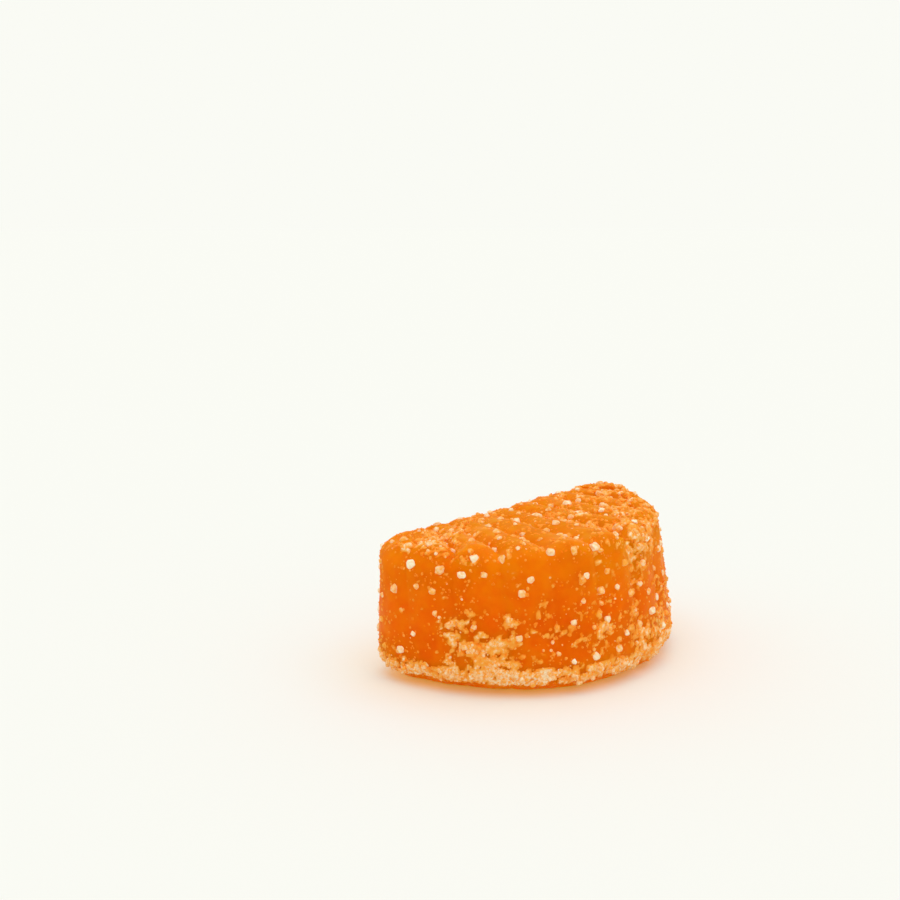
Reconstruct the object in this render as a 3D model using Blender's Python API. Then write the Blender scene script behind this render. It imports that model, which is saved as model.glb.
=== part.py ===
# Orange slice jelly with coarse sugar on it, as one solid. Metres, +Z up.
# It lies on its wide flat face with the ribs up, the round rim towards -Y and the straight side towards +Y.

import math

import bpy
import numpy as np
from mathutils import Euler, Matrix, Vector

MM = 0.001

# Body, as the mould gives it
RIM_RADIUS = 20.0 * MM  # at the widest line, a little above the flat face
CUT_BEHIND = 1.9 * MM  # the straight side lies this far behind the rim's centre
HEIGHT = 16.4 * MM  # flat face to the crests of the ribs
TIP_RADIUS = 4.9 * MM  # corners between rim and straight side, seen from above
TIP_SHRINK = 0.85  # how much of an inset the tip radius loses
FOOT_ROUND = 3.6 * MM  # rounded edge under the widest line
DRAFT = 0.8 * MM  # the sides lean in by this much over the height
RIM_SHOULDER = 1.5 * MM  # rounding between rim and top
TIP_SHOULDER = 2.6 * MM  # rounding between tips or straight side and top
LEAN = (-1.3 * MM, 0.9 * MM)  # how far the soft sweet has slumped sideways at its top
TILT = (1.0 * MM, -0.6 * MM)  # the top rises this much over one rim radius, along X and along Y

# Ribs, counted from the middle of the rim: whole numbers are crests, halves are grooves
LAST_RIB = 5
RIB_ANGLE = math.radians(16.2)
HUB = 3.0 * RIM_RADIUS  # the grooves meet this far behind the straight side
GROOVE_POWER = 2.4  # a higher power gives rounder ribs and narrower grooves
TIP_REACH = 1.7  # how many ribs bend with the round tips
TOP_GROOVE = 1.2 * MM  # depth at the top's rim
CUT_GROOVE = 0.5 * MM  # depth at the straight side
SIDE_GROOVE = 0.45 * MM  # depth of the flutes down the rim
END_GROOVE = 0.5  # the last groove at each tip keeps this share of its depth

# Unevenness of a soft moulded sweet
GROOVE_SPREAD = 0.25  # each groove's depth differs by up to this share
CREST_SPREAD = 0.16 * MM  # each crest's height differs by up to this
WARP = 0.08 * MM  # height of each of the slow waves that bend the skin
WARP_LENGTHS = (26.0 * MM, 17.0 * MM, 11.0 * MM)

# Lattice
RIB_STEPS = (-0.5, -0.38, -0.2, 0.0, 0.2, 0.38)  # columns across one rib
END_COLUMNS = 4  # columns across what is left of each end rib
TOP_ROWS = 8  # rows from rim to straight side
FOOT_RINGS = 3
SIDE_RINGS = 4
SHOULDER_RINGS = 5

# Sugar crystals, largest first
CRYSTAL_COUNT = 260
CRYSTAL_LARGE = 0.95 * MM
CRYSTAL_SMALL = 0.55 * MM
CRYSTAL_GAP = 1.75 * MM  # least distance between two of them
CRYSTAL_FLOOR = 1.3 * MM  # none lower than this, so the flat face stays clear
CRYSTAL_SINK = 0.08  # share of its size that the middle lies under the skin
FOOT_CRUST = 3.6 * MM  # below this the sugar is thickest
BARE_TOP = 14.8 * MM  # the bare front ends here, near the top edge
BARE_ANGLES = (math.radians(-84), math.radians(-16))  # the rim angles of the bare front
# Single crystals that stand out on the rim: angle in degrees from -Y, height in mm
STANDOUT = (
    (-79, 10.9), (-73, 13.9), (-65, 11.3), (-63, 13.7), (-52, 15.1), (-41, 8.5), (-37, 11.5), (-27, 15.6),
    (-19, 15.6), (-10, 15.6), (-9, 10.8), (2, 13.3), (4, 9.8), (12, 12.6), (16, 6.9),
)

SEED = 11


def clear_scene():
    for thing in list(bpy.data.objects):
        bpy.data.objects.remove(thing, do_unlink=True)


def rib_columns():
    # Rib coordinate of every column, from the left tip to the right tip
    inner = [rib + step for rib in range(1 - LAST_RIB, LAST_RIB) for step in RIB_STEPS]
    inner.append(LAST_RIB - 0.5)
    end = [LAST_RIB - 0.5 + (step + 1) / END_COLUMNS for step in range(END_COLUMNS)]
    return np.array([-value for value in reversed(end)] + inner + end)


def column_angles(columns, tip_angle):
    # Angle round the rim's centre, measured from -Y, with the end ribs fitted up to the tip
    inner = (LAST_RIB - 0.5) * RIB_ANGLE
    beyond = np.clip(np.abs(columns) - (LAST_RIB - 0.5), 0.0, None)
    kept = np.minimum(np.abs(columns), LAST_RIB - 0.5) * RIB_ANGLE
    return np.sign(columns) * (kept + beyond * (tip_angle - inner))


def fan_places(angles, half_width):
    # Where the columns meet the straight side, on lines towards the hub, as x
    reach = np.sin(angles) * HUB / (HUB + RIM_RADIUS * np.cos(angles) + CUT_BEHIND)
    return reach / reach[-1] * half_width


def plan_loop(columns, rim_inset, tip_inset):
    # One turn round the plan: rim, right tip, straight side, left tip.
    # Gives points, outward directions and how much each belongs to the rim.
    tip_radius = TIP_RADIUS - TIP_SHRINK * tip_inset
    cut_y = CUT_BEHIND - tip_inset
    centre_y = cut_y - tip_radius
    centre_x = math.sqrt((RIM_RADIUS - tip_inset - tip_radius) ** 2 - centre_y**2)
    tip_angle = math.atan2(centre_x, -centre_y)

    angles = column_angles(columns, tip_angle)
    share = np.cos(angles / tip_angle * math.pi / 2) ** 2
    radius = RIM_RADIUS - tip_inset - (rim_inset - tip_inset) * share
    rim_out = np.stack([np.sin(angles), -np.cos(angles)], axis=1)
    rim = rim_out * radius[:, None]

    turn = np.linspace(tip_angle, math.pi, TOP_ROWS + 1)[1:-1]
    tip_out = np.stack([np.sin(turn), -np.cos(turn)], axis=1)
    tip = tip_out * tip_radius + (centre_x, centre_y)

    cut_x = fan_places(angles, centre_x)[::-1]
    cut = np.stack([cut_x, np.full(len(cut_x), cut_y)], axis=1)
    cut_out = np.tile((0.0, 1.0), (len(cut_x), 1))

    mirror = np.array((-1.0, 1.0))
    points = np.concatenate([rim, tip, cut, (tip * mirror)[::-1]])
    outward = np.concatenate([rim_out, tip_out, cut_out, (tip_out * mirror)[::-1]])
    fade = (np.cos(np.linspace(0, math.pi, TOP_ROWS + 1)[1:-1]) + 1) / 2
    belongs = np.concatenate([np.ones(len(rim)), fade, np.zeros(len(cut)), fade[::-1]])
    return points, outward, belongs, share


def loop_values(columns, at_columns, at_tips):
    # Spread one value for each column over the loop, rim and straight side alike
    tips = np.full(TOP_ROWS - 1, at_tips)
    return np.concatenate([at_columns, tips, at_columns[::-1], tips])


def groove_depths(columns, rng):
    # 0 on a crest and about 1 in a groove, with each crest and groove a little different
    offset = columns - np.round(columns)
    shape = np.abs(2 * offset) ** GROOVE_POWER
    grooves = rng.uniform(1 - GROOVE_SPREAD, 1 + GROOVE_SPREAD, 2 * LAST_RIB)
    grooves[[0, -1]] *= END_GROOVE
    nearest = np.clip(np.floor(columns) + LAST_RIB, 0, 2 * LAST_RIB - 1).astype(int)
    crests = rng.uniform(0.0, CREST_SPREAD, 2 * LAST_RIB + 3)
    crest = crests[(np.round(columns) + LAST_RIB + 1).astype(int)]
    lower = crest * (1 - shape)
    shape[np.abs(columns) > LAST_RIB] = 0.0
    return shape * grooves[nearest], lower


def ring(columns, grooves, rise, lean, turn):
    # One ring of the side. Rise runs 0 to 1 up the straight stretch, turn 0 to 90 degrees
    # round the shoulder, and lean is the foot's inset.
    top_share = (1 - math.cos(turn)) if turn else 0.0
    draft = DRAFT * (rise if not turn else 1.0)
    points, outward, belongs, share = plan_loop(
        columns,
        lean + draft + RIM_SHOULDER * top_share,
        lean + draft + TIP_SHOULDER * top_share,
    )
    shoulder = loop_values(columns, TIP_SHOULDER + 0 * share, TIP_SHOULDER)
    shoulder[: len(columns)] = TIP_SHOULDER + (RIM_SHOULDER - TIP_SHOULDER) * share
    depth, lower = grooves
    depth = loop_values(columns, depth, 0.0)
    lower = loop_values(columns, lower, 0.0)
    side = SIDE_GROOVE * belongs * (0.35 + 0.65 * min(1.0, rise * 2.5))
    top = CUT_GROOVE + (TOP_GROOVE - CUT_GROOVE) * belongs
    swing = math.sin(turn)
    amount = depth * (side + (top - side) * swing) + lower * swing
    height = FOOT_ROUND + rise * (HEIGHT - shoulder - FOOT_ROUND)
    height = height + shoulder * swing
    flat = points - outward * (amount * math.cos(turn))[:, None]
    return np.column_stack([flat, height - amount * swing])


def foot_ring(columns, grooves, turn):
    # The rounded edge under the widest line: turn is 90 degrees at the flat face
    lean = FOOT_ROUND * (1 - math.cos(turn))
    flat = ring(columns, grooves, 0.0, lean, 0.0)
    flat[:, 2] = FOOT_ROUND * (1 - math.sin(turn))
    return flat


def top_grid(columns, grooves, last_ring):
    # Points inside the top, column by column from rim to straight side, and the index
    # that each lattice place has, with the edge places taken from the last ring
    count = len(columns)
    depth, lower = grooves
    rim = last_ring[:count]
    right = last_ring[count : count + TOP_ROWS - 1]
    cut = last_ring[count + TOP_ROWS - 1 : 2 * count + TOP_ROWS - 1][::-1]
    left = last_ring[2 * count + TOP_ROWS - 1 :][::-1]
    inside = []
    for column in range(1, count - 1):
        across = np.arange(1, TOP_ROWS) / TOP_ROWS
        line = rim[column] + (cut[column] - rim[column]) * across[:, None]
        pull = max(0.0, 1 - (LAST_RIB + 0.5 - abs(columns[column])) / TIP_REACH) ** 2
        for edge, tip in ((0, left), (-1, right)):
            straight = rim[edge] + (cut[edge] - rim[edge]) * across[:, None]
            if columns[edge] * columns[column] > 0:
                line[:, :2] += pull * (tip - straight)[:, :2]
        amount = TOP_GROOVE + (CUT_GROOVE - TOP_GROOVE) * across
        line[:, 2] = HEIGHT - depth[column] * amount - lower[column]
        inside.append(line)
    return np.array(inside)


def body_lattice():
    # Vertices and faces of the bare sweet, closed, all faces outward
    rng = np.random.default_rng(SEED)
    columns = rib_columns()
    grooves = groove_depths(columns, rng)
    rings = []
    for step in range(FOOT_RINGS):
        rings.append(foot_ring(columns, grooves, math.pi / 2 * (1 - step / FOOT_RINGS)))
    for step in range(SIDE_RINGS):
        rings.append(ring(columns, grooves, step / SIDE_RINGS, 0.0, 0.0))
    rings.append(ring(columns, grooves, 1.0, 0.0, 0.0))
    for step in range(1, SHOULDER_RINGS + 1):
        rings.append(ring(columns, grooves, 1.0, 0.0, math.pi / 2 * step / SHOULDER_RINGS))

    count, size = len(columns), len(rings[0])
    inside = top_grid(columns, grooves, rings[-1])
    vertices = np.concatenate(rings + [inside.reshape(-1, 3)])
    faces = [list(range(size))[::-1]]
    for level in range(len(rings) - 1):
        low, high = level * size, (level + 1) * size
        for place in range(size):
            after = (place + 1) % size
            faces.append([low + place, low + after, high + after, high + place])

    last = (len(rings) - 1) * size
    first_inside = len(rings) * size

    def index(column, row):
        if row == 0:
            return last + column
        if row == TOP_ROWS:
            return last + 2 * count + TOP_ROWS - 2 - column
        if column == count - 1:
            return last + count + row - 1
        if column == 0:
            return last + size - row
        return first_inside + (column - 1) * (TOP_ROWS - 1) + row - 1

    for column in range(count - 1):
        for row in range(TOP_ROWS):
            corners = ((column, row), (column + 1, row), (column + 1, row + 1), (column, row + 1))
            faces.append([index(*corner) for corner in corners])
    return settle(vertices), faces


def settle(vertices):
    # Slump and warp the mould's even shape a little, and put the origin under the middle
    rise = (vertices[:, 2] / HEIGHT)[:, None]
    lift = vertices[:, :2] @ np.array(TILT) / RIM_RADIUS
    slump = np.column_stack([np.tile(LEAN, (len(vertices), 1)), lift])
    vertices = vertices + slump * rise
    rng = np.random.default_rng(SEED + 2)
    bend = np.zeros_like(vertices)
    for length in WARP_LENGTHS:
        for axis in range(3):
            direction = rng.normal(size=3)
            direction /= np.linalg.norm(direction)
            phase = rng.uniform(0, 2 * math.pi)
            bend[:, axis] += WARP * np.sin(vertices @ direction * 2 * math.pi / length + phase)
    bend[:, 2] *= np.clip(vertices[:, 2] / (2 * FOOT_ROUND), 0.0, 1.0)
    vertices = vertices + bend
    middle = (vertices[:, :2].min(axis=0) + vertices[:, :2].max(axis=0)) / 2
    vertices[:, :2] -= middle
    return vertices


def rim_middle():
    # The rim's centre on Y, once the origin is under the middle
    return (RIM_RADIUS - CUT_BEHIND) / 2


def sugar_share(centre, normal):
    # How readily sugar stays on a spot: most on the foot and at the right end of the top
    x, y, height = centre
    angle = math.atan2(x, rim_middle() - y)
    if height < CRYSTAL_FLOOR or normal[2] < -0.5:
        return 0.0
    if height < FOOT_CRUST:
        return 1.6
    if normal[2] > 0.7:
        return 0.8 + 0.5 * x / RIM_RADIUS
    if height < BARE_TOP and BARE_ANGLES[0] < angle < BARE_ANGLES[1]:
        return 0.25
    return 0.9


def rim_site(angle, height, centres, normals):
    # The spot at a rim angle and a height, on the plane of the face nearest to it
    out = np.array([math.sin(angle), -math.cos(angle), 0.0])
    middle = np.array([0.0, rim_middle(), height])
    gaps = np.linalg.norm(centres - middle - out * RIM_RADIUS, axis=1)
    gaps[normals @ out < 0.2] = np.inf
    face = int(np.argmin(gaps))
    reach = (centres[face] - middle) @ normals[face] / (out @ normals[face])
    return middle + out * reach, normals[face]


def crystal_sites(vertices, faces, rng):
    # Spots for the crystals on the body's faces, kept apart from each other
    quads = np.array([face for face in faces if len(face) == 4])
    corners = vertices[quads]
    normals = np.cross(corners[:, 2] - corners[:, 0], corners[:, 3] - corners[:, 1])
    areas = np.linalg.norm(normals, axis=1)
    normals /= areas[:, None]
    centres = corners.mean(axis=1)
    weights = areas * [sugar_share(*pair) for pair in zip(centres, normals)]
    weights /= weights.sum()
    sites = [rim_site(math.radians(angle), height * MM, centres, normals) for angle, height in STANDOUT]
    while len(sites) < CRYSTAL_COUNT:
        face = rng.choice(len(quads), p=weights)
        u, v = rng.uniform(0.1, 0.9, 2)
        a, b, c, d = corners[face]
        spot = (a * (1 - u) + b * u) * (1 - v) + (d * (1 - u) + c * u) * v
        if all(np.linalg.norm(spot - other) > CRYSTAL_GAP for other, _ in sites):
            sites.append((spot, normals[face]))
    return sites


def crystal_frame(spot, normal, size, rng):
    # A crystal is a brick of its own proportions at a random turn, sunk into the skin
    turn = Euler(rng.uniform(0, 2 * math.pi, 3)).to_matrix().to_4x4()
    sides = Matrix.Diagonal((*(size * rng.uniform(0.72, 1.0, 3)), 1.0))
    place = Vector(spot - normal * size * CRYSTAL_SINK)
    return Matrix.Translation(place) @ turn @ sides


def make_mesh_object(name, vertices, faces, collection):
    mesh = bpy.data.meshes.new(name)
    mesh.from_pydata([tuple(vertex) for vertex in vertices], [], faces)
    mesh.update()
    thing = bpy.data.objects.new(name, mesh)
    collection.objects.link(thing)
    return thing


def make_crystals(vertices, faces, collection):
    rng = np.random.default_rng(SEED + 1)
    corners = [Vector((x, y, z)) for x in (-0.5, 0.5) for y in (-0.5, 0.5) for z in (-0.5, 0.5)]
    sides = [(0, 1, 3, 2), (4, 6, 7, 5), (0, 4, 5, 1), (2, 3, 7, 6), (0, 2, 6, 4), (1, 5, 7, 3)]
    sites = crystal_sites(vertices, faces, rng)
    for number, (spot, normal) in enumerate(sites):
        share = number / (CRYSTAL_COUNT - 1)
        size = CRYSTAL_LARGE + (CRYSTAL_SMALL - CRYSTAL_LARGE) * share
        frame = crystal_frame(spot, normal, size, rng)
        make_mesh_object("crystal", [frame @ corner for corner in corners], sides, collection)


def fuse(body, collection):
    # One union of the body with everything in the collection, which is then removed
    union = body.modifiers.new("sugar", "BOOLEAN")
    union.operation = "UNION"
    union.operand_type = "COLLECTION"
    union.collection = collection
    union.solver = "EXACT"
    depsgraph = bpy.context.evaluated_depsgraph_get()
    fused = bpy.data.meshes.new_from_object(body.evaluated_get(depsgraph))
    body.modifiers.clear()
    body.data = fused
    for thing in list(collection.objects):
        bpy.data.objects.remove(thing, do_unlink=True)
    bpy.data.collections.remove(collection)


def jelly_material():
    material = bpy.data.materials.new("orange jelly")
    material.use_nodes = True
    shader = material.node_tree.nodes["Principled BSDF"]
    shader.inputs["Base Color"].default_value = (0.90, 0.20, 0.01, 1.0)
    shader.inputs["Roughness"].default_value = 0.45
    shader.inputs["Metallic"].default_value = 0.0
    return material


def make_gummy():
    scene_objects = bpy.context.scene.collection
    vertices, faces = body_lattice()
    gummy = make_mesh_object("gummy", vertices, faces, scene_objects)
    sugar = bpy.data.collections.new("sugar")
    scene_objects.children.link(sugar)
    make_crystals(vertices, faces, sugar)
    fuse(gummy, sugar)
    gummy.data.name = "gummy"
    gummy.data.materials.clear()
    gummy.data.materials.append(jelly_material())
    gummy.data.shade_smooth()
    gummy.data.set_sharp_from_angle(angle=math.radians(38))
    return gummy


clear_scene()
make_gummy()
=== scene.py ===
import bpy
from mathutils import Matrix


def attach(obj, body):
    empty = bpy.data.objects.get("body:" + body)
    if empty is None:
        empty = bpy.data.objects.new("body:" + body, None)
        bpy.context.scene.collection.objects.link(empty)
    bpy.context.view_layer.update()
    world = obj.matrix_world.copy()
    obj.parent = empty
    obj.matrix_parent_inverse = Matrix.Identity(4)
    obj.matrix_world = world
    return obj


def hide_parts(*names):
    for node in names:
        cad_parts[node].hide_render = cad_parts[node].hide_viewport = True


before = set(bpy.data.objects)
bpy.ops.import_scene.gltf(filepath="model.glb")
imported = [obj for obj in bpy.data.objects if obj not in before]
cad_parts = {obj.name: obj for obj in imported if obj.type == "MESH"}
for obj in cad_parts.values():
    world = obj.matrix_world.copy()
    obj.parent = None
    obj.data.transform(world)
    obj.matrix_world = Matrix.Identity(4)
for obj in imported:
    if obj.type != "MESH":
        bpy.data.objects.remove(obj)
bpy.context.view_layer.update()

import math

import bmesh
import bpy
import numpy as np
from mathutils import Euler, Vector

mm = 0.001

# The sweet, on the same named sizes as its solid. Lengths in metres, angles in radians.
sweet = {
    "seed": 11,
    "rimRadius": 20.0 * mm,
    "cutBehind": 1.9 * mm,  # the straight side lies this far behind the rim's centre
    "height": 16.4 * mm,
    "tipRadius": 4.9 * mm,
    "tipShrink": 0.85,
    "footRound": 3.6 * mm,
    "draft": 0.8 * mm,
    "rimShoulder": 1.5 * mm,
    "tipShoulder": 2.6 * mm,
    "lean": (-1.3 * mm, 0.9 * mm),
    "tilt": (1.0 * mm, -0.6 * mm),
    "lastRib": 5,
    "ribAngle": math.radians(16.2),
    "hub": 60.0 * mm,
    "groovePower": 2.4,
    "tipReach": 1.7,
    "topGroove": 1.2 * mm,
    "cutGroove": 0.5 * mm,
    "sideGroove": 0.45 * mm,
    "footGroove": 0.35,  # share of the side's grooves that is left at the foot
    "grooveRise": 2.5,  # how fast they deepen up the side
    "endGroove": 0.5,
    "grooveSpread": 0.25,
    "crestSpread": 0.16 * mm,
    "warp": 0.08 * mm,
    "warpLengths": (26.0 * mm, 17.0 * mm, 11.0 * mm),
}

# How finely the skin is sampled: coarse places the large crystals, fine is what shows
coarse = {
    "rib": (-0.5, -0.38, -0.2, 0.0, 0.2, 0.38),
    "end": 4,
    "rows": 8,
    "foot": 3,
    "side": 4,
    "shoulder": 5,
}
fine = {
    "rib": tuple(np.arange(22) / 22 - 0.5),
    "end": 16,
    "rows": 48,
    "foot": 24,
    "side": 62,
    "shoulder": 18,
}


def ribColumns(mesh):
    # rib coordinate of every column from the left tip to the right one: whole numbers are crests
    last = sweet["lastRib"]
    inner = [rib + step for rib in range(1 - last, last) for step in mesh["rib"]]
    inner.append(last - 0.5)
    end = [last - 0.5 + (step + 1) / mesh["end"] for step in range(mesh["end"])]
    return np.array([-value for value in reversed(end)] + inner + end)


def columnAngles(columns, tipAngle):
    edge = sweet["lastRib"] - 0.5
    beyond = np.clip(np.abs(columns) - edge, 0.0, None)
    kept = np.minimum(np.abs(columns), edge) * sweet["ribAngle"]
    return np.sign(columns) * (kept + beyond * (tipAngle - edge * sweet["ribAngle"]))


def fanPlaces(angles, halfWidth):
    # where the grooves meet the straight side
    near = sweet["hub"] + sweet["rimRadius"] * np.cos(angles) + sweet["cutBehind"]
    reach = np.sin(angles) * sweet["hub"] / near
    return reach / reach[-1] * halfWidth


def planLoop(mesh, columns, rimInset, tipInset):
    # one turn round the plan: rim, right tip, straight side, left tip
    tipRadius = sweet["tipRadius"] - sweet["tipShrink"] * tipInset
    cutY = sweet["cutBehind"] - tipInset
    centreY = cutY - tipRadius
    centreX = math.sqrt((sweet["rimRadius"] - tipInset - tipRadius) ** 2 - centreY**2)
    tipAngle = math.atan2(centreX, -centreY)

    angles = columnAngles(columns, tipAngle)
    share = np.cos(angles / tipAngle * math.pi / 2) ** 2
    radius = sweet["rimRadius"] - tipInset - (rimInset - tipInset) * share
    rimOut = np.stack([np.sin(angles), -np.cos(angles)], axis=1)
    rim = rimOut * radius[:, None]

    turn = np.linspace(tipAngle, math.pi, mesh["rows"] + 1)[1:-1]
    tipOut = np.stack([np.sin(turn), -np.cos(turn)], axis=1)
    tip = tipOut * tipRadius + (centreX, centreY)

    cutX = fanPlaces(angles, centreX)[::-1]
    cut = np.stack([cutX, np.full(len(cutX), cutY)], axis=1)
    cutOut = np.tile((0.0, 1.0), (len(cutX), 1))

    mirror = np.array((-1.0, 1.0))
    points = np.concatenate([rim, tip, cut, (tip * mirror)[::-1]])
    outward = np.concatenate([rimOut, tipOut, cutOut, (tipOut * mirror)[::-1]])
    fade = (np.cos(np.linspace(0, math.pi, mesh["rows"] + 1)[1:-1]) + 1) / 2
    belongs = np.concatenate([np.ones(len(rim)), fade, np.zeros(len(cut)), fade[::-1]])
    return points, outward, belongs, share


def aroundLoop(mesh, atColumns, atTips):
    tips = np.full(mesh["rows"] - 1, atTips)
    return np.concatenate([atColumns, tips, atColumns[::-1], tips])


def grooveDepths(columns):
    # 0 on a crest and about 1 in a groove, and how much lower each crest lies
    rng = np.random.default_rng(sweet["seed"])
    last = sweet["lastRib"]
    offset = columns - np.round(columns)
    shape = np.abs(2 * offset) ** sweet["groovePower"]
    grooves = rng.uniform(1 - sweet["grooveSpread"], 1 + sweet["grooveSpread"], 2 * last)
    grooves[[0, -1]] *= sweet["endGroove"]
    nearest = np.clip(np.floor(columns) + last, 0, 2 * last - 1).astype(int)
    crests = rng.uniform(0.0, sweet["crestSpread"], 2 * last + 3)
    crest = crests[(np.round(columns) + last + 1).astype(int)]
    lower = crest * (1 - shape)
    shape[np.abs(columns) > last] = 0.0
    return shape * grooves[nearest], lower


def sideRing(mesh, columns, grooves, rise, lean, turn):
    topShare = (1 - math.cos(turn)) if turn else 0.0
    draft = sweet["draft"] * (rise if not turn else 1.0)
    points, outward, belongs, share = planLoop(
        mesh,
        columns,
        lean + draft + sweet["rimShoulder"] * topShare,
        lean + draft + sweet["tipShoulder"] * topShare,
    )
    shoulder = aroundLoop(mesh, 0 * share + sweet["tipShoulder"], sweet["tipShoulder"])
    shoulder[: len(columns)] += (sweet["rimShoulder"] - sweet["tipShoulder"]) * share
    depth = aroundLoop(mesh, grooves[0], 0.0)
    lower = aroundLoop(mesh, grooves[1], 0.0)
    foot = sweet["footGroove"]
    side = sweet["sideGroove"] * belongs * (foot + (1 - foot) * min(1.0, rise * sweet["grooveRise"]))
    top = sweet["cutGroove"] + (sweet["topGroove"] - sweet["cutGroove"]) * belongs
    swing = math.sin(turn)
    amount = depth * (side + (top - side) * swing) + lower * swing
    height = sweet["footRound"] + rise * (sweet["height"] - shoulder - sweet["footRound"])
    height = height + shoulder * swing
    flat = points - outward * (amount * math.cos(turn))[:, None]
    return np.column_stack([flat, height - amount * swing])


def footRing(mesh, columns, grooves, turn):
    lean = sweet["footRound"] * (1 - math.cos(turn))
    ring = sideRing(mesh, columns, grooves, 0.0, lean, 0.0)
    ring[:, 2] = sweet["footRound"] * (1 - math.sin(turn))
    return ring


def topGrid(mesh, columns, grooves, lastRing):
    count, rows = len(columns), mesh["rows"]
    depth, lower = grooves
    rim = lastRing[:count]
    right = lastRing[count : count + rows - 1]
    cut = lastRing[count + rows - 1 : 2 * count + rows - 1][::-1]
    left = lastRing[2 * count + rows - 1 :][::-1]
    across = np.arange(1, rows) / rows
    inside = []
    for column in range(1, count - 1):
        line = rim[column] + (cut[column] - rim[column]) * across[:, None]
        gap = sweet["lastRib"] + 0.5 - abs(columns[column])
        pull = max(0.0, 1 - gap / sweet["tipReach"]) ** 2
        for edge, tip in ((0, left), (-1, right)):
            straight = rim[edge] + (cut[edge] - rim[edge]) * across[:, None]
            if columns[edge] * columns[column] > 0:
                line[:, :2] += pull * (tip - straight)[:, :2]
        amount = sweet["topGroove"] + (sweet["cutGroove"] - sweet["topGroove"]) * across
        line[:, 2] = sweet["height"] - depth[column] * amount - lower[column]
        inside.append(line)
    return np.array(inside)


def settle(points):
    # the slump and slow warp of a soft sweet, with the origin put under its middle
    rng = np.random.default_rng(sweet["seed"] + 2)
    rise = (points[:, 2] / sweet["height"])[:, None]
    lift = points[:, :2] @ np.array(sweet["tilt"]) / sweet["rimRadius"]
    points = points + np.column_stack([np.tile(sweet["lean"], (len(points), 1)), lift]) * rise
    bend = np.zeros_like(points)
    for length in sweet["warpLengths"]:
        for axis in range(3):
            direction = rng.normal(size=3)
            direction /= np.linalg.norm(direction)
            phase = rng.uniform(0, 2 * math.pi)
            bend[:, axis] += sweet["warp"] * np.sin(points @ direction * 2 * math.pi / length + phase)
    bend[:, 2] *= np.clip(points[:, 2] / (2 * sweet["footRound"]), 0.0, 1.0)
    points = points + bend
    middle = (points[:, :2].min(axis=0) + points[:, :2].max(axis=0)) / 2
    points[:, :2] -= middle
    return points


def skinLattice(mesh):
    # points and four-sided faces of the bare sweet, the ring round its flat face,
    # and how deep in a groove each point lies
    columns = ribColumns(mesh)
    grooves = grooveDepths(columns)
    rings = []
    for step in range(mesh["foot"]):
        rings.append(footRing(mesh, columns, grooves, math.pi / 2 * (1 - step / mesh["foot"])))
    for step in range(mesh["side"]):
        rings.append(sideRing(mesh, columns, grooves, step / mesh["side"], 0.0, 0.0))
    rings.append(sideRing(mesh, columns, grooves, 1.0, 0.0, 0.0))
    for step in range(1, mesh["shoulder"] + 1):
        turn = math.pi / 2 * step / mesh["shoulder"]
        rings.append(sideRing(mesh, columns, grooves, 1.0, 0.0, turn))

    count, rows, size = len(columns), mesh["rows"], len(rings[0])
    inside = topGrid(mesh, columns, grooves, rings[-1])
    points = np.concatenate(rings + [inside.reshape(-1, 3)])

    place = np.arange(size)
    after = (place + 1) % size
    quads = []
    for level in range(len(rings) - 1):
        low, high = level * size, (level + 1) * size
        quads.append(np.stack([low + place, low + after, high + after, high + place], axis=1))

    last, firstInside = (len(rings) - 1) * size, len(rings) * size
    grid = np.empty((count, rows + 1), int)
    grid[:, 0] = last + np.arange(count)
    grid[:, rows] = last + 2 * count + rows - 2 - np.arange(count)
    grid[count - 1, 1:rows] = last + count + np.arange(1, rows) - 1
    grid[0, 1:rows] = last + size - np.arange(1, rows)
    grid[1:-1, 1:rows] = firstInside + np.arange((count - 2) * (rows - 1)).reshape(count - 2, rows - 1)
    corners = (grid[:-1, :-1], grid[1:, :-1], grid[1:, 1:], grid[:-1, 1:])
    quads.append(np.stack([corner.ravel() for corner in corners], axis=1))

    around = np.tile(aroundLoop(mesh, grooves[0], 0.0), len(rings))
    hollow = np.concatenate([around, np.repeat(grooves[0][1:-1], rows - 1)])
    return settle(points), np.concatenate(quads), place[::-1], hollow


def rimMiddle():
    return (sweet["rimRadius"] - sweet["cutBehind"]) / 2


def squareTo(corners):
    # a vector square to each four-sided face, as long as twice its area
    return np.cross(corners[:, 2] - corners[:, 0], corners[:, 3] - corners[:, 1])


def measureFaces(points, quads):
    # corners, normals and doubled areas of the faces
    corners = points[quads]
    normals = squareTo(corners)
    areas = np.linalg.norm(normals, axis=1)
    return corners, normals / areas[:, None], areas


def vertexNormals(points, quads):
    cross = squareTo(points[quads])
    normals = np.zeros_like(points)
    for corner in range(4):
        np.add.at(normals, quads[:, corner], cross)
    return normals / np.maximum(np.linalg.norm(normals, axis=1), 1e-12)[:, None]


def spotOn(a, b, c, d, u, v):
    # a place on a four-sided face, by shares of its two directions
    return (a * (1 - u) + b * u) * (1 - v) + (d * (1 - u) + c * u) * v


def smoothStep(value, low, high):
    share = np.clip((value - low) / (high - low), 0.0, 1.0)
    return share * share * (3 - 2 * share)


def waves(points, length, seed, count=26, spread=(0.75, 1.35)):
    # a smooth random field over space, mostly within -1 to 1, with humps about this far apart
    rng = np.random.default_rng(seed)
    directions = rng.normal(size=(count, 3))
    directions /= np.linalg.norm(directions, axis=1)[:, None]
    steps = 2 * math.pi / (length * rng.uniform(*spread, count))
    phases = rng.uniform(0, 2 * math.pi, count)
    return np.sin(points @ (directions * steps[:, None]).T + phases).sum(axis=1) / math.sqrt(count)


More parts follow.
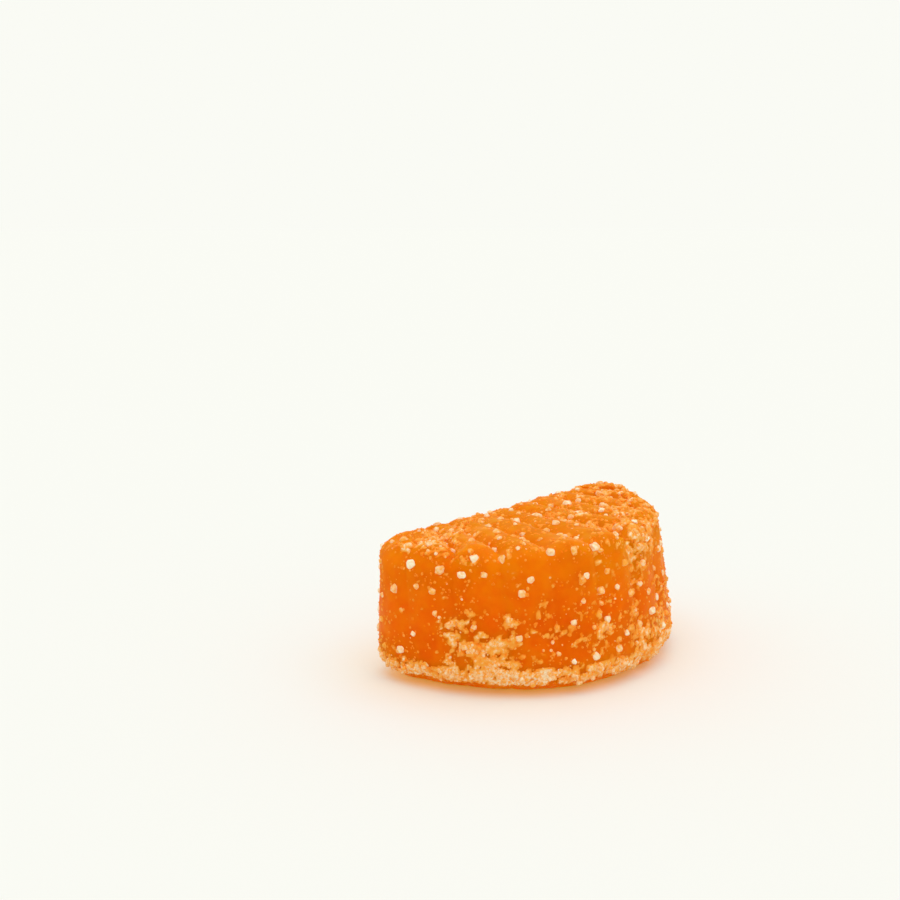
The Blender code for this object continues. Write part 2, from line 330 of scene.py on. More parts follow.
def grit(points, length, seed, cells=16):
    # like waves, but blotchy as crumbs are: random values on a turned grid, blended between,
    # two cells to a length, and the same again after so many cells
    rng = np.random.default_rng(seed)
    values = rng.uniform(-2, 2, (cells, cells, cells))
    turned = points @ np.linalg.qr(rng.normal(size=(3, 3)))[0]
    place = turned / (0.5 * length)
    cell = np.floor(place).astype(int)
    part = smoothStep(place - cell, 0.0, 1.0)
    total = np.zeros(len(points))
    for corner in np.ndindex(2, 2, 2):
        share = np.where(corner, part, 1 - part).prod(axis=1)
        total += share * values[tuple(((cell + corner) % cells).T)]
    return total


def newMeshObject(name, points, faces, smooth):
    data = bpy.data.meshes.new(name)
    data.from_pydata(points.tolist(), [], faces)
    data.update()
    if smooth:
        data.shade_smooth()
    thing = bpy.data.objects.new(name, data)
    bpy.context.scene.collection.objects.link(thing)
    return thing


def setPointValues(thing, name, values):
    layer = thing.data.attributes.new(name, "FLOAT", "POINT")
    layer.data.foreach_set("value", np.asarray(values, dtype=np.float32))


# Where the sugar lies, by rim angle (degrees from -Y) and height (mm)
coat = {
    "base": 0.075,  # thin everywhere
    "foot": 1.15,
    "footFade": (2.7, 3.5),
    "footBare": (0.9, 1.9),  # bare below the first height, full from the second
    "groove": 0.30,
    "groovePower": 3,
    "leftGroove": 0.1,  # share of the groove sugar on the rim's left part
    "topGroove": 0.42,  # share of it on the top
    "top": 0.05,
    "topFrom": (0.55, 0.9),  # how level a face is: where the top begins, and where it is full
    "topRight": 0.26,
    "topRightFrom": (0.1, 0.5),  # from here to there, in rim radii
    "edge": 0.10,  # along the shoulder
    "edgeFrom": (0.2, 0.6),
    "cut": 0.15,  # the straight side
    "cutFrom": (0.6, 0.9),
    "lowSide": 0.09,
    "lowSideFade": (3.0, 8.5),
    "right": 0.08,  # the rim's right part holds more
    "rightFrom": (-26.0, -2.0),
    "clumps": ((0.60, 2.6 * mm, 41), (0.80, 0.9 * mm, 42)),  # strength, length, seed
    "patchOut": 5.0 * mm,  # patches lie only further out than this
    "patches": (  # angle, height, spread in degrees, spread in mm, amount
        (-77.0, 2.6, 6.0, 1.2, 0.90),
        (-66.0, 2.6, 4.5, 1.6, -0.70),
        (-49.0, 4.6, 10.0, 2.0, 0.78),
        (-42.0, 6.4, 4.0, 0.9, 0.40),
        (-70.0, 15.6, 11.0, 0.6, 0.40),
        (-58.5, 7.8, 3.5, 1.0, 0.50),
        (-41.0, 8.2, 3.0, 0.9, 0.45),
        (-30.5, 8.8, 2.5, 1.3, 0.40),
        (-24.0, 7.2, 3.0, 0.7, 0.35),
        (-9.5, 9.6, 2.2, 2.4, 0.40),
        (5.0, 8.8, 2.2, 2.0, 0.35),
        (8.0, 5.4, 3.0, 1.0, 0.55),
        (20.0, 5.0, 10.0, 2.4, 0.35),
        (14.0, 14.9, 9.0, 1.6, 0.65),
    ),
}


def sugarCover(points, normals, hollow):
    # how thickly sugar lies at each point: 0 for none, 1 and more where it cakes
    angle = np.degrees(np.arctan2(points[:, 0], rimMiddle() - points[:, 1]))
    height = points[:, 2] / mm
    out = np.hypot(points[:, 0], rimMiddle() - points[:, 1])
    onTop = smoothStep(normals[:, 2], *coat["topFrom"])
    onCut = smoothStep(normals[:, 1], *coat["cutFrom"])
    onRim = (1 - onTop) * (1 - onCut)
    rightPart = smoothStep(angle, *coat["rightFrom"])
    topRight = smoothStep(points[:, 0] / sweet["rimRadius"], *coat["topRightFrom"])

    cover = np.full(len(points), coat["base"])
    cover += coat["foot"] * (1 - smoothStep(height, *coat["footFade"]))
    cover += coat["edge"] * smoothStep(normals[:, 2], *coat["edgeFrom"]) * (1 - onTop)
    cover += onTop * (coat["top"] + coat["topRight"] * topRight)
    cover += onCut * coat["cut"]
    cover += onRim * coat["right"] * rightPart
    cover += onRim * coat["lowSide"] * (1 - smoothStep(height, *coat["lowSideFade"]))
    rimShare = coat["leftGroove"] + (1 - coat["leftGroove"]) * rightPart
    held = coat["topGroove"] * onTop + onRim * rimShare
    cover += coat["groove"] * np.clip(hollow, 0, 1) ** coat["groovePower"] * held
    for middle, level, across, tall, amount in coat["patches"]:
        near = ((angle - middle) / across) ** 2 + ((height - level) / tall) ** 2
        cover += amount * np.exp(-near) * (out > coat["patchOut"]) * (1 - onCut)
    for strength, length, seed in coat["clumps"]:
        cover *= np.exp(strength * grit(points, length, seed))
    return np.clip(cover, 0.0, None) * smoothStep(height, *coat["footBare"])


# Shader nodes


def feed(tree, socket, value):
    # value is a plain number, a colour, or a node with the name or place of its output
    if isinstance(value, tuple) and isinstance(value[0], bpy.types.Node):
        tree.links.new(value[0].outputs[value[1]], socket)
    elif isinstance(value, tuple):
        socket.default_value = (*value, 1.0)
    else:
        socket.default_value = value


def addNode(tree, kind, inputs):
    node = tree.nodes.new(kind)
    for label, value in inputs.items():
        feed(tree, node.inputs[label], value)
    return node


def addMath(tree, kind, first, second, clamp=False):
    node = addNode(tree, "ShaderNodeMath", {0: first, 1: second})
    node.operation = kind
    node.use_clamp = clamp
    return node, "Value"


def newGroup(name, inputs, outputs):
    # inputs are (name, kind, value); outputs are (name, kind)
    group = bpy.data.node_groups.new(name, "ShaderNodeTree")
    for label, kind, value in inputs:
        socket = group.interface.new_socket(name=label, in_out="INPUT", socket_type=kind)
        if value is not None:
            socket.default_value = value
    for label, kind in outputs:
        group.interface.new_socket(name=label, in_out="OUTPUT", socket_type=kind)
    return group, group.nodes.new("NodeGroupInput"), group.nodes.new("NodeGroupOutput")


def makeCloudGroup():
    # slow soft clouds: a mask from 0 to 1 with a set softness
    inputs = (
        ("Vector", "NodeSocketVector", None),
        ("Length", "NodeSocketFloat", 0.004),
        ("Detail", "NodeSocketFloat", 3.0),
        ("Low", "NodeSocketFloat", 0.35),
        ("High", "NodeSocketFloat", 0.65),
    )
    group, given, result = newGroup("sweetClouds", inputs, (("Mask", "NodeSocketFloat"),))
    scale = addMath(group, "DIVIDE", 1.0, (given, "Length"))
    noise = addNode(
        group,
        "ShaderNodeTexNoise",
        {"Vector": (given, "Vector"), "Scale": scale, "Detail": (given, "Detail")},
    )
    ramp = addNode(
        group,
        "ShaderNodeMapRange",
        {"Value": (noise, "Fac"), "From Min": (given, "Low"), "From Max": (given, "High")},
    )
    ramp.interpolation_type = "SMOOTHSTEP"
    feed(group, result.inputs["Mask"], (ramp, "Result"))
    return group


sanded = {
    "pitDetail": 4.0,
    "pitRoughness": 0.6,
    "speckEdge": (0.42, 0.18),  # where a speck begins, and where it is full
}


def makeSkinGroup():
    # fine pits and dust of a sanded sweet: a height for bump and a dust mask
    inputs = (
        ("Vector", "NodeSocketVector", None),
        ("Pit", "NodeSocketFloat", 0.0005),
        ("Dust", "NodeSocketFloat", 0.00025),
        ("Cover", "NodeSocketFloat", 0.5),
    )
    outputs = (("Height", "NodeSocketFloat"), ("Dusting", "NodeSocketFloat"))
    group, given, result = newGroup("sandedSkin", inputs, outputs)
    place = (given, "Vector")
    pitScale = addMath(group, "DIVIDE", 1.0, (given, "Pit"))
    dustScale = addMath(group, "DIVIDE", 1.0, (given, "Dust"))
    pits = addNode(group, "ShaderNodeTexNoise", {"Vector": place, "Scale": pitScale})
    pits.inputs["Detail"].default_value = sanded["pitDetail"]
    pits.inputs["Roughness"].default_value = sanded["pitRoughness"]
    specks = addNode(group, "ShaderNodeTexVoronoi", {"Vector": place, "Scale": dustScale})
    chance = addNode(group, "ShaderNodeSeparateColor", {"Color": (specks, "Color")})
    shown = addMath(group, "LESS_THAN", (chance, "Red"), (given, "Cover"))
    edge, full = sanded["speckEdge"]
    speck = addNode(
        group,
        "ShaderNodeMapRange",
        {"Value": (specks, "Distance"), "From Min": edge, "From Max": full},
    )
    dusting = addMath(group, "MULTIPLY", shown, (speck, "Result"))
    feed(group, result.inputs["Height"], addMath(group, "ADD", (pits, "Fac"), dusting))
    feed(group, result.inputs["Dusting"], dusting)
    return group


cloudGroup = makeCloudGroup()
skinGroup = makeSkinGroup()
print("shader groups built")


def addGroup(tree, group, inputs):
    node = tree.nodes.new("ShaderNodeGroup")
    node.node_tree = group
    for label, value in inputs.items():
        feed(tree, node.inputs[label], value)
    return node


# places of a Mix node's colour sockets, whose names its number and vector sockets have too
mixShare, mixFirst, mixSecond, mixResult = 0, 6, 7, 2


def addMix(tree, share, first, second, blend="MIX"):
    node = tree.nodes.new("ShaderNodeMix")
    node.data_type = "RGBA"
    node.blend_type = blend
    for place, value in ((mixShare, share), (mixFirst, first), (mixSecond, second)):
        feed(tree, node.inputs[place], value)
    return node, mixResult


def addRamp(tree, value, stops):
    # a colour ramp through (place, colour) stops
    node = addNode(tree, "ShaderNodeValToRGB", {"Fac": value})
    marks = node.color_ramp.elements
    while len(marks) < len(stops):
        marks.new(0.5)
    for mark, (place, colour) in zip(marks, stops):
        mark.position = place
        mark.color = (*colour, 1.0)
    return node, "Color"


def addPointValue(tree, name):
    node = tree.nodes.new("ShaderNodeAttribute")
    node.attribute_name = name
    return node, "Fac"


def addRoughness(tree, shader, mask, smoothAndRough):
    low, high = smoothAndRough
    rough = addNode(tree, "ShaderNodeMapRange", {"Value": mask, "To Min": low, "To Max": high})
    feed(tree, shader.inputs["Roughness"], (rough, "Result"))


def addBump(tree, shader, height, strength, depth):
    bump = addNode(tree, "ShaderNodeBump", {"Strength": strength, "Distance": depth, "Height": height})
    feed(tree, shader.inputs["Normal"], (bump, "Normal"))


def newMaterial(name):
    material = bpy.data.materials.new(name)
    material.use_nodes = True
    tree = material.node_tree
    return material, tree, tree.nodes["Principled BSDF"]


def letLampsThrough(tree, shader, tint):
    # lamp rays pass through, tinted at each face, so shadows glow as under a clear sweet
    path = tree.nodes.new("ShaderNodeLightPath")
    clear = addNode(tree, "ShaderNodeBsdfTransparent", {"Color": tint})
    choose = addNode(
        tree,
        "ShaderNodeMixShader",
        {"Fac": (path, "Is Shadow Ray"), 1: (shader, "BSDF"), 2: (clear, "BSDF")},
    )
    feed(tree, tree.nodes["Material Output"].inputs["Surface"], (choose, "Shader"))


# The jelly itself
jelly = {
    "swell": (0.045 * mm, 3.2 * mm, 31),  # depth, length, seed
    "pits": (0.022 * mm, 1.1 * mm, 32),
    "baseClear": 0.6 * mm,  # no relief this near the flat face
    "glowAndShadeByHeight": (  # share of the height, colour: painted light, yellower at the shoulder as a painted glow through the top edge, dimmer red on the top face as painted shade
        (0.08, (0.94, 0.190, 0.0005)),
        (0.55, (0.95, 0.182, 0.0005)),
        (0.85, (0.95, 0.248, 0.0005)),
        (1.0, (0.84, 0.245, 0.0005)),
    ),
    "clouds": {"Length": 5.0 * mm, "Low": 0.38, "High": 0.66},
    "darkPatch": (0.93, 0.84, 0.76),
    "mottleClouds": {"Length": 1.5 * mm, "Low": 0.32, "High": 0.68},
    "mottle": (0.98, 0.82, 0.7),
    "skin": {"Pit": 0.45 * mm, "Dust": 0.40 * mm},
    "frostColour": (1.0, 0.24, 0.004),
    "frostShare": 0.05,
    "frostStart": 0.10,
    "dustColour": (1.0, 0.27, 0.004),
    "lampTint": (0.92, 0.80, 0.08),  # what one face lets through
    "scatter": (1.0, 0.32, 0.05),
    "scatterReach": 1.7 * mm,
    "roughness": (0.40, 0.62),
    "bump": 0.25,
    "bumpDepth": 0.03 * mm,
    "ior": 1.12,
}


def makeJellyMaterial():
    material, tree, shader = newMaterial("orangeJelly")
    place = (tree.nodes.new("ShaderNodeTexCoord"), "Object")
    frost = addPointValue(tree, "frost")
    split = addNode(tree, "ShaderNodeSeparateXYZ", {"Vector": place})
    rise = addNode(tree, "ShaderNodeMapRange", {"Value": (split, "Z"), "From Max": sweet["height"]})
    # base colour by height is painted light: the yellower shoulder is a painted glow through the top
    # edge, and the dimmer top face is painted shade
    ramp = addRamp(tree, (rise, "Result"), jelly["glowAndShadeByHeight"])

    clouds = addGroup(tree, cloudGroup, {"Vector": place, **jelly["clouds"]})
    skin = addGroup(tree, skinGroup, {"Vector": place, "Cover": frost, **jelly["skin"]})
    mottle = addGroup(tree, cloudGroup, {"Vector": place, **jelly["mottleClouds"]})
    drift = addMix(tree, (clouds, "Mask"), (1.0, 1.0, 1.0), jelly["darkPatch"])
    marbled = addMix(tree, (mottle, "Mask"), drift, jelly["mottle"], "MULTIPLY")
    shaded = addMix(tree, 1.0, ramp, marbled, "MULTIPLY")
    share = addMath(tree, "MULTIPLY", frost, jelly["frostShare"])
    frosted = addMix(tree, share, shaded, jelly["frostColour"])
    dusted = addMix(tree, (skin, "Dusting"), frosted, jelly["dustColour"])
    feed(tree, shader.inputs["Base Color"], dusted)

    addRoughness(tree, shader, (clouds, "Mask"), jelly["roughness"])
    addBump(tree, shader, (skin, "Height"), jelly["bump"], jelly["bumpDepth"])
    shader.inputs["Subsurface Weight"].default_value = 1.0
    shader.inputs["Subsurface Radius"].default_value = jelly["scatter"]
    shader.inputs["Subsurface Scale"].default_value = jelly["scatterReach"]
    shader.inputs["IOR"].default_value = jelly["ior"]
    letLampsThrough(tree, shader, jelly["lampTint"])
    print("orangeJelly material built")
    return material


def makeJelly(points, quads, base, normals, cover):
    # the jelly, with a slight swell and pits, and how frosted each point is
    relief = np.zeros(len(points))
    for depth, length, seed in (jelly["swell"], jelly["pits"]):
        relief += depth * waves(points, length, seed)
    relief *= np.clip(points[:, 2] / jelly["baseClear"], 0.0, 1.0)
    points = points + normals * relief[:, None]
    points[:, 2] = np.maximum(points[:, 2], 0.0)
    body = newMeshObject("jellySlice", points, quads.tolist() + [base.tolist()], True)
    setPointValues(body, "frost", np.clip(cover - jelly["frostStart"], 0.0, 1.0))
    body.data.materials.append(makeJellyMaterial())
    print("jellySlice", len(points), "points")
    return body, points


# Sugar, in all its sizes
sugar = {
    "tones": ((0.0, (0.95, 0.24, 0.004)), (0.5, (0.97, 0.43, 0.06)), (1.0, (1.0, 0.92, 0.68))),
    "clouds": {"Length": 0.35 * mm, "Low": 0.3, "High": 0.7},
    "cloudy": 0.30,  # how much deeper the tone is in the clouds
    "skin": {"Pit": 0.08 * mm, "Dust": 0.10 * mm, "Cover": 0.3},
    "roughness": (0.3, 0.55),
    "bump": 0.3,
    "bumpDepth": 0.01 * mm,
    "ior": 1.2,
    "lampTint": (1.0, 0.95, 0.78),
    "pebble": 0.56,  # radius of a grain that has no flat sides, in its size
    "taper": 0.22,
    "wobble": 0.11,
}


def makeSugarMaterial():
    material, tree, shader = newMaterial("sugarCrystal")
    place = (tree.nodes.new("ShaderNodeTexCoord"), "Object")
    tone = addPointValue(tree, "tone")
    clouds = addGroup(tree, cloudGroup, {"Vector": place, **sugar["clouds"]})
    skin = addGroup(tree, skinGroup, {"Vector": place, **sugar["skin"]})
    deeper = addMath(tree, "MULTIPLY", (clouds, "Mask"), sugar["cloudy"])
    shade = addMath(tree, "SUBTRACT", tone, deeper, clamp=True)
    feed(tree, shader.inputs["Base Color"], addRamp(tree, shade, sugar["tones"]))
    addRoughness(tree, shader, (clouds, "Mask"), sugar["roughness"])
    addBump(tree, shader, (skin, "Height"), sugar["bump"], sugar["bumpDepth"])
    shader.inputs["IOR"].default_value = sugar["ior"]
    letLampsThrough(tree, shader, sugar["lampTint"])
    print("sugarCrystal material built")
    return material


# The crust: sugar dust that caked on the damp jelly, thick at the foot and in patches
crust = {
    "thick": 0.14 * mm,
    "thinnest": 0.1,  # share of the thickness between two lumps
    "sunk": 0.035 * mm,
    "lift": 0.6,  # share of that which the full crust makes up
    "bareFoot": 0.3 * mm,  # no crust this near the flat face
    "from": (0.26, 1.0),  # cover where it begins, and where it is full
    "crumb": (0.60, 0.7 * mm, 57),  # how strongly its edge breaks into crumbs, length, seed
    "lumps": (  # share of the thickness, length, seed
        (0.30, 1.4 * mm, 51),
        (0.34, 0.65 * mm, 52),
        (0.26, 0.40 * mm, 53),
    ),
    "tone": (0.08, 0.70),  # where it thins out, and where it is full
    "footTone": (0.06, 2.8 * mm, 4.2 * mm),  # paler by this at the foot, and where that fades out
    "thickTone": (0.10, 1.3, 2.4),  # paler by this where it is thickest, between these covers
    "toneGrit": (0.08, 0.45 * mm, 55),  # swing, length, seed
    "toneDrift": (0.14, 4.5 * mm, 56),
    "blend": 0.7,  # how far grains on the full crust take its tone
}


def crustTone(cover, full, height):
    thin, thickest = crust["tone"]
    footPaler, low, high = crust["footTone"]
    thickPaler, some, most = crust["thickTone"]
    paler = footPaler * (1 - smoothStep(height, low, high)) + thickPaler * smoothStep(cover, some, most)
    return thin + (thickest - thin + paler) * full


def makeCrust(points, quads, normals, cover):
    # a lumpy skin that dips into the jelly where the sugar thins out
    lumps = sum(share * grit(points, length, seed) for share, length, seed in crust["lumps"])
    strength, length, seed = crust["crumb"]
    full = smoothStep(cover * np.exp(strength * grit(points, length, seed)), *crust["from"])
    height = full * crust["thick"] * np.clip(1 + lumps, crust["thinnest"], None)
    height -= crust["sunk"] * (1 - crust["lift"] * full)
    height[points[:, 2] <= crust["bareFoot"]] = -crust["sunk"]
    shown = (height[quads] > 0).any(axis=1)
    kept, faces = np.unique(quads[shown], return_inverse=True)
    outer = points + normals * height[:, None]
    sheet = newMeshObject("sugarCrust", outer[kept], faces.reshape(-1, 4).tolist(), True)

    swing, length, seed = crust["toneGrit"]
    tones = crustTone(cover, full, points[:, 2]) + swing * (lumps + grit(points, length, seed))
    drift, length, seed = crust["toneDrift"]
    tones += drift * waves(points, length, seed)
    setPointValues(sheet, "tone", np.clip(tones, 0.0, 1.0)[kept])
    sheet.data.materials.append(sugarMaterial)
    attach(sheet, "root")
    print("sugarCrust", len(faces) // 2, "triangles")
    return np.where(height[:, None] > 0, outer, points)


def grainForm(chamfer):
    # a unit brick with its edges cut off, or a plain pebble of 20 faces, as points and faces
    form = bmesh.new()
    if chamfer:
        bmesh.ops.create_cube(form, size=1.0)
        edges = form.edges[:]
        bmesh.ops.bevel(form, geom=edges, offset=chamfer, segments=1, affect="EDGES", profile=0.5)
    else:
        bmesh.ops.create_icosphere(form, subdivisions=1, radius=sugar["pebble"])
    form.verts.ensure_lookup_table()
    points = np.array([vert.co[:] for vert in form.verts])
    faces = [[vert.index for vert in face.verts] for face in form.faces]
    form.free()
    return points, faces


def wobbled(form, count, rng):
    # every copy a little off square and tapered
    points = np.tile(form, (count, 1, 1))
    taper = rng.uniform(-sugar["taper"], sugar["taper"], (count, 1, 2))
    points[:, :, :2] *= 1 + taper * points[:, :, 2:3] * 2
    return points * (1 + sugar["wobble"] * rng.normal(size=points.shape))


def joinCopies(name, copies, faces, tones):
    # copies is an array of (copy, point, xyz); one mesh for all, with a tone for each copy
    count, each = copies.shape[:2]
    points = copies.reshape(-1, 3)
    points[:, 2] = np.maximum(points[:, 2], 0.0)
    joined = [[corner + copy * each for corner in face] for copy in range(count) for face in faces]
    thing = newMeshObject(name, points, joined, False)
    setPointValues(thing, "tone", np.repeat(tones, each))
    thing.data.materials.append(sugarMaterial)
    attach(thing, "root")
    print(name, count, "grains,", sum(len(face) - 2 for face in faces) * count, "triangles")


# The crystals that the solid has, by the same rule
crystals = {
    "count": 260,
    "large": 0.95 * mm,
    "small": 0.55 * mm,
    "sides": (0.72, 1.0),  # shares of the size
    "chamfer": 0.22,
    "gap": 1.75 * mm,
    "sink": 0.08,
    "floor": 1.3 * mm,  # none lower than this, or on the underside
    "underside": -0.5,
    "footCrust": 3.6 * mm,
    "topFrom": 0.7,  # how level a face of the top is
    "bareTop": 14.8 * mm,
    "bareAngles": (math.radians(-84), math.radians(-16)),
    "shares": {"foot": 1.6, "top": 0.8, "topRight": 0.5, "bare": 0.25, "elsewhere": 0.9},
    "standout": (  # rim angle in degrees, height in mm
        (-79, 10.9), (-73, 13.9), (-65, 11.3), (-63, 13.7), (-52, 15.1),
        (-41, 8.5), (-37, 11.5), (-27, 15.6), (-19, 15.6), (-10, 15.6),
        (-9, 10.8), (2, 13.3), (4, 9.8), (12, 12.6), (16, 6.9),
    ),
    "facing": 0.2,  # a standout crystal's face looks at least this far outward
    "margin": (0.1, 0.9),  # the middle part of a face, where a crystal may sit
    "toneRange": (0.62, 1.1),
    "shapeSeed": 71,
}


def sugarShare(centre, normal):
    # how likely a crystal is on a face
    shares = crystals["shares"]
    x, y, height = centre
    angle = math.atan2(x, rimMiddle() - y)
    if height < crystals["floor"] or normal[2] < crystals["underside"]:
        return 0.0
    if height < crystals["footCrust"]:
        return shares["foot"]
    if normal[2] > crystals["topFrom"]:
        return shares["top"] + shares["topRight"] * x / sweet["rimRadius"]
    if height < crystals["bareTop"] and crystals["bareAngles"][0] < angle < crystals["bareAngles"][1]:
        return shares["bare"]
    return shares["elsewhere"]


def rimSite(angle, height, centres, normals):
    # where a line from the sweet's axis, at this angle and height, comes out of its side
    out = np.array([math.sin(angle), -math.cos(angle), 0.0])
    middle = np.array([0.0, rimMiddle(), height])
    gaps = np.linalg.norm(centres - middle - out * sweet["rimRadius"], axis=1)
    gaps[normals @ out < crystals["facing"]] = np.inf
    face = int(np.argmin(gaps))
    reach = (centres[face] - middle) @ normals[face] / (out @ normals[face])
    return middle + out * reach, normals[face]


def crystalSites(points, quads, rng):
    # the standout crystals first, then the rest at random, apart from each other
    corners, normals, areas = measureFaces(points, quads)
    centres = corners.mean(axis=1)
    weights = areas * [sugarShare(*pair) for pair in zip(centres, normals)]
    weights /= weights.sum()
    sites = []
    for angle, height in crystals["standout"]:
        sites.append(rimSite(math.radians(angle), height * mm, centres, normals))
    while len(sites) < crystals["count"]:
        face = rng.choice(len(quads), p=weights)
        spot = spotOn(*corners[face], *rng.uniform(*crystals["margin"], 2))
        if all(np.linalg.norm(spot - other) > crystals["gap"] for other, _ in sites):
            sites.append((spot, normals[face]))
    return sites


def makeCrystals():
    points, quads, _, _ = skinLattice(coarse)
    rng = np.random.default_rng(sweet["seed"] + 1)
    shapes = np.random.default_rng(crystals["shapeSeed"])
    form, faces = grainForm(crystals["chamfer"])
    sites = crystalSites(points, quads, rng)
    forms = wobbled(form, len(sites), shapes)
    copies = []
    for number, (spot, normal) in enumerate(sites):
        share = number / (crystals["count"] - 1)
        size = crystals["large"] + (crystals["small"] - crystals["large"]) * share
        turn = np.array(Euler(rng.uniform(0, 2 * math.pi, 3)).to_matrix())
        sides = size * rng.uniform(*crystals["sides"], 3)
        copies.append(forms[number] * sides @ turn.T + spot - normal * size * crystals["sink"])
    tones = shapes.uniform(*crystals["toneRange"], len(sites))
    joinCopies("largeCrystals", np.array(copies), faces, tones)


# Finer grains: how many, their sizes in mm and how these skew to the small ones, how far they sink
# and lean, and the power of the cover that they follow
grainSides = (0.62, 1.0)  # shares of the size
grainKinds = {
    "mediumGrains": {
        "count": 1000, "sizes": (0.26, 0.60), "skew": 1.5, "sink": 0.42, "lean": 0.35,
        "power": 1.4, "chamfer": 0.25, "tones": (0.3, 0.95), "seed": 81,
    },
    "fineGrains": {
        "count": 7500, "sizes": (0.18, 0.44), "skew": 1.4, "sink": 0.68, "lean": 0.5,
        "power": 0.7, "chamfer": 0.0, "tones": (0.08, 0.50), "seed": 82,
    },
    "crustGrains": {
        "count": 2400, "sizes": (0.24, 0.55), "skew": 1.3, "sink": 0.82, "lean": 0.4,
        "power": 1.8, "chamfer": 0.0, "tones": (0.50, 0.90), "seed": 83,
    },
}


def scatterGrains(name, kind, points, quads, cover):
    rng = np.random.default_rng(kind["seed"])
    corners, normals, areas = measureFaces(points, quads)
    weights = areas * cover[quads].mean(axis=1) ** kind["power"]
    faces = rng.choice(len(quads), size=kind["count"], p=weights / weights.sum())
    along = rng.uniform(0, 1, (2, kind["count"], 1))
    spots = spotOn(*np.moveaxis(corners[faces], 1, 0), *along)
    out = normals[faces]

    up = out + kind["lean"] * rng.normal(size=out.shape)
    up /= np.linalg.norm(up, axis=1)[:, None]
    side = np.cross(up, rng.normal(size=out.shape))
    side /= np.linalg.norm(side, axis=1)[:, None]
    front = np.cross(up, side)
    low, high = kind["sizes"]
    size = (low + (high - low) * rng.uniform(0, 1, (kind["count"], 1)) ** kind["skew"]) * mm
    sides = size * rng.uniform(*grainSides, (kind["count"], 3))
    form, faceList = grainForm(kind["chamfer"])
    local = wobbled(form, kind["count"], rng) * sides[:, None, :]
    middle = spots + out * (0.5 - kind["sink"]) * sides[:, 2:3]
    copies = middle[:, None, :] + local[:, :, :1] * side[:, None] + local[:, :, 1:2] * front[:, None]
    copies = copies + local[:, :, 2:] * up[:, None]

    tones = rng.uniform(*kind["tones"], kind["count"])
    level = cover[quads[faces]].mean(axis=1)
    full = smoothStep(level, *crust["from"])
    tones += (crustTone(level, full, spots[:, 2]) - tones) * crust["blend"] * full
    joinCopies(name, copies, faceList, tones)


skinPoints, skinQuads, baseRing, grooveShare = skinLattice(fine)
skinNormals = vertexNormals(skinPoints, skinQuads)
sugarLevel = sugarCover(skinPoints, skinNormals, grooveShare)
print("skin sampled and sugar laid out")

jellySlice, skinPoints = makeJelly(skinPoints, skinQuads, baseRing, skinNormals, sugarLevel)
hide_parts("gummy")
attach(jellySlice, "root")

sugarMaterial = makeSugarMaterial()
coatPoints = makeCrust(skinPoints, skinQuads, skinNormals, sugarLevel)
makeCrystals()
for kindName, grainKind in grainKinds.items():
    scatterGrains(kindName, grainKind, coatPoints, skinQuads, sugarLevel)


# Camera, at the photo's angle
camera = {
    "distance": 148.5 * mm,
    "elevation": math.radians(20.0),
    "turn": math.radians(45.2),  # to the left of the middle of the rim
    "focal": 1253.0,  # in pixels of a picture 900 wide
    "picture": 900.0,
    "aimAt": (555.7, 656.7),  # where the middle of the flat face lands
    "sensor": 36.0,
    "nearest": 5.0 * mm,
}


def makeCamera():
    across, up = math.cos(camera["elevation"]), math.sin(camera["elevation"])
    outward = Vector((-math.sin(camera["turn"]) * across, -math.cos(camera["turn"]) * across, up))
    half = camera["picture"] / 2
    right = (camera["aimAt"][0] - half) / camera["focal"]
    down = (camera["aimAt"][1] - half) / camera["focal"]
    length = math.sqrt(1 + right**2 + down**2)
    pitch = math.atan(down) + math.asin(-outward.z * length / math.sqrt(1 + down**2))
    ahead = math.cos(pitch) + down * math.sin(pitch)
    yaw = math.atan2(-outward.y, -outward.x) + math.atan2(right, ahead)
    data = bpy.data.cameras.new("camera")
    data.sensor_width = camera["sensor"]
    data.lens = camera["focal"] / camera["picture"] * camera["sensor"]
    data.clip_start = camera["nearest"]
    eye = bpy.data.objects.new("camera", data)
    eye.location = outward * camera["distance"]
    eye.rotation_euler = (math.pi / 2 + pitch, 0.0, yaw - math.pi / 2)
    bpy.context.scene.collection.objects.link(eye)
    bpy.context.scene.camera = eye
    print("camera placed")


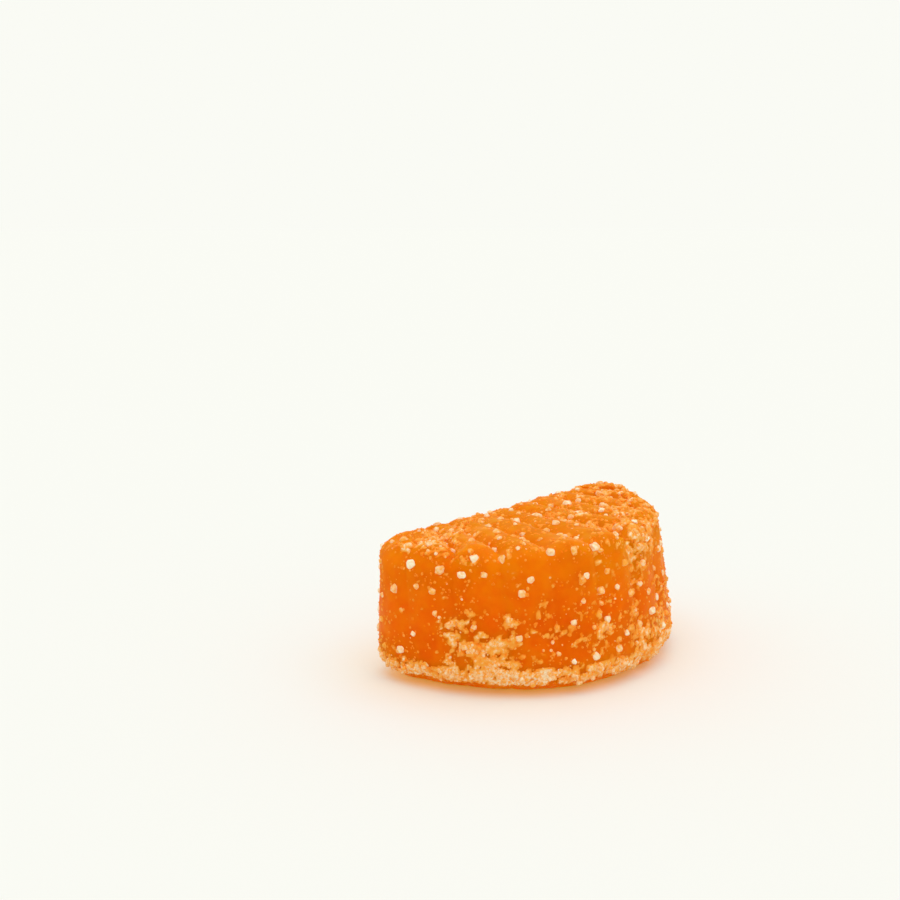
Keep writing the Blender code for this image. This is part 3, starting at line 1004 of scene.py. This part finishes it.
# Studio
studio = {
    "floorRadius": 4.0,
    "floorSides": 96,
    "floorColour": (0.872, 0.878, 0.846),
    "floorRoughness": 0.9,
    "skyColour": (1.0, 1.0, 0.96),
    "skyStrength": 0.73,
    "backdrop": (0.957, 0.963, 0.908),  # what the camera sees beyond the floor
    "lampAngle": math.radians(75),
    "lampPower": 1.18,
    "lampFrom": (0.02, -0.16, 1.0),
}


def makeFloor():
    sides = studio["floorSides"]
    points = [(0.0, 0.0, 0.0)]
    for side in range(sides):
        angle = 2 * math.pi * side / sides
        across, along = math.cos(angle), math.sin(angle)
        points.append((studio["floorRadius"] * across, studio["floorRadius"] * along, 0.0))
    faces = [(0, 1 + side, 1 + (side + 1) % sides) for side in range(sides)]
    floor = newMeshObject("floor", np.array(points), faces, False)

    material, _, shader = newMaterial("paleFloor")
    shader.inputs["Base Color"].default_value = (*studio["floorColour"], 1.0)
    shader.inputs["Roughness"].default_value = studio["floorRoughness"]
    shader.inputs["Specular IOR Level"].default_value = 0.0
    floor.data.materials.append(material)


def makeLight():
    # an even white sky, and one very wide softbox far overhead
    world = bpy.data.worlds.new("sky")
    world.use_nodes = True
    tree = world.node_tree
    sky = tree.nodes["Background"]
    feed(tree, sky.inputs["Color"], studio["skyColour"])
    feed(tree, sky.inputs["Strength"], studio["skyStrength"])
    seen = addNode(tree, "ShaderNodeBackground", {"Color": studio["backdrop"]})
    path = tree.nodes.new("ShaderNodeLightPath")
    choose = addNode(
        tree,
        "ShaderNodeMixShader",
        {"Fac": (path, "Is Camera Ray"), 1: (sky, "Background"), 2: (seen, "Background")},
    )
    feed(tree, tree.nodes["World Output"].inputs["Surface"], (choose, "Shader"))
    bpy.context.scene.world = world

    data = bpy.data.lights.new("softbox", "SUN")
    data.angle = studio["lampAngle"]
    data.energy = studio["lampPower"]
    lamp = bpy.data.objects.new("softbox", data)
    lamp.location = studio["lampFrom"]
    lamp.rotation_euler = (-lamp.location).to_track_quat("-Z", "Y").to_euler()
    bpy.context.scene.collection.objects.link(lamp)


makeCamera()
makeFloor()
makeLight()
bpy.context.scene.view_settings.view_transform = "Standard"
print("floor and light placed")
